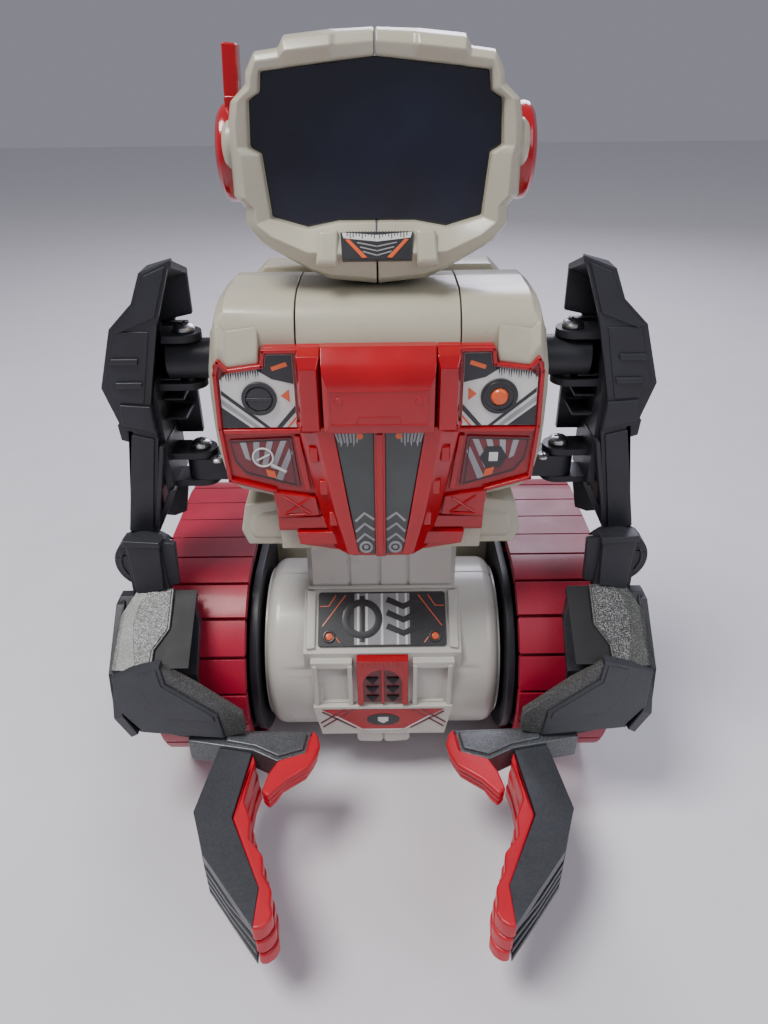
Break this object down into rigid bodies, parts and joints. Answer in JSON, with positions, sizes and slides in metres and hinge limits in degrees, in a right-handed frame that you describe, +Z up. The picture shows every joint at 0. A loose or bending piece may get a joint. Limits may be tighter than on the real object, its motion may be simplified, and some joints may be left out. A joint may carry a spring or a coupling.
{
  "type": "toy robot",
  "caption": "Tracked toy robot with a tilting torso, a turning screen-faced head and two swinging arms with claw hands.",
  "frame": {"origin": "on the floor, under the middle of the outer box", "axes": "+Z up, the robot faces -Y, +X to the viewer's right"},
  "size_m": [0.246, 0.274, 0.3355],
  "materials": {
    "cream_plastic": "satin gloss",
    "red_plastic": "high gloss",
    "black_plastic": "fine texture",
    "track_rubber": "matte",
    "grey_flake": "metal-flake",
    "red_rubber": "matte",
    "screen_gloss": "glossy tinted",
    "label_print": "printed film",
    "steel": "plated",
    "cell_metal": "wrapped metal",
    "wheel_grey": "moulded",
    "board_green": "solder mask",
    "speaker_black": "paper cone"
  },
  "bodies": {
    "chassis": {"chassis_box": "cream_plastic", "battery_cover": "black_plastic", "batteries": "cell_metal", "drive_motors": "cell_metal", "idler_axles": "steel", "track_frame_left": "black_plastic", "track_frame_right": "black_plastic", "track_cover_left": "black_plastic", "track_cover_right": "black_plastic", "track_links_left": "track_rubber", "track_links_right": "track_rubber"},
    "switch": {"power_switch": "black_plastic"},
    "torso": {"belly_housing_front": "cream_plastic", "belly_housing_rear": "cream_plastic", "number_plate": "label_print", "vent_plate": "red_plastic", "waist_block": "cream_plastic", "chest_front": "cream_plastic", "chest_back": "cream_plastic", "chest_cover": "red_plastic", "chest_windows": "label_print", "label_plates": "label_print", "backpack": "cream_plastic", "circuit_board": "board_green", "speaker": "speaker_black", "arm_motor": "cell_metal", "shoulder_mounts": "black_plastic", "pivot_pins": "steel", "neck": "black_plastic", "screws": "steel"},
    "head": {"head_shell_left": "cream_plastic", "head_shell_right": "cream_plastic", "screen": "screen_gloss", "chin_plate": "label_print", "ear_cups": "red_plastic", "antenna": "red_plastic"},
    "sprocket_left": {"sprocket_left": "wheel_grey"},
    "idler_left": {"idler_left": "wheel_grey"},
    "arm_left": {"shoulder_pad_left": "black_plastic", "arm_bracket_left": "black_plastic", "upper_arm_left": "black_plastic"},
    "forearm_left": {"forearm_left": "black_plastic", "forearm_plate_left": "grey_flake", "wrist_guard_left": "grey_flake", "palm_left": "grey_flake", "thumb_pad_left": "red_rubber", "finger_left": "grey_flake", "finger_pad_left": "red_rubber"},
    "sprocket_right": {"sprocket_right": "wheel_grey"},
    "idler_right": {"idler_right": "wheel_grey"},
    "arm_right": {"shoulder_pad_right": "black_plastic", "arm_bracket_right": "black_plastic", "upper_arm_right": "black_plastic"},
    "forearm_right": {"forearm_right": "black_plastic", "forearm_plate_right": "grey_flake", "wrist_guard_right": "grey_flake", "palm_right": "grey_flake", "thumb_pad_right": "red_rubber", "finger_right": "grey_flake", "finger_pad_right": "red_rubber"}
  },
  "joints": [
    {"name": "torso_tilt", "type": "hinge", "parent": "chassis", "child": "torso", "pos_m": [0, 0.0205, 0.056], "axis": [1, 0, 0], "range_deg": [-20, 8]},
    {"name": "head_turn", "type": "hinge", "parent": "torso", "child": "head", "pos_m": [0, 0.024, 0.256], "axis": [0, 0, 1], "range_deg": [-45, 45]},
    {"name": "arm_swing_left", "type": "hinge", "parent": "torso", "child": "arm_left", "pos_m": [-0.0805, 0.0135, 0.169], "axis": [0, 0, 1], "range_deg": [-12, 14]},
    {"name": "arm_swing_right", "type": "hinge", "parent": "torso", "child": "arm_right", "pos_m": [0.0805, 0.0135, 0.169], "axis": [0, 0, 1], "range_deg": [-14, 12]},
    {"name": "elbow_left", "type": "hinge", "parent": "arm_left", "child": "forearm_left", "pos_m": [-0.105, -0.009, 0.129], "axis": [0, 1, 0], "range_deg": [0, 10]},
    {"name": "elbow_right", "type": "hinge", "parent": "arm_right", "child": "forearm_right", "pos_m": [0.105, -0.009, 0.129], "axis": [0, 1, 0], "range_deg": [-10, 0]},
    {"name": "switch_slide", "type": "slide", "parent": "chassis", "child": "switch", "axis": [1, 0, 0], "range_m": [0, 0.004]},
    {"name": "sprocket_spin_left", "type": "hinge", "parent": "chassis", "child": "sprocket_left", "pos_m": [-0.098, 0.081, 0.056], "axis": [1, 0, 0], "continuous": true},
    {"name": "idler_spin_left", "type": "hinge", "parent": "chassis", "child": "idler_left", "pos_m": [-0.075, 0.0205, 0.056], "axis": [1, 0, 0], "continuous": true},
    {"name": "sprocket_spin_right", "type": "hinge", "parent": "chassis", "child": "sprocket_right", "pos_m": [0.098, 0.081, 0.056], "axis": [1, 0, 0], "continuous": true},
    {"name": "idler_spin_right", "type": "hinge", "parent": "chassis", "child": "idler_right", "pos_m": [0.075, 0.0205, 0.056], "axis": [1, 0, 0], "continuous": true}
  ],
  "couplings": [
    {"joint": "arm_swing_right", "follows": "arm_swing_left", "ratio": -1},
    {"joint": "idler_spin_left", "follows": "sprocket_spin_left", "ratio": 1},
    {"joint": "idler_spin_right", "follows": "sprocket_spin_right", "ratio": 1}
  ]
}
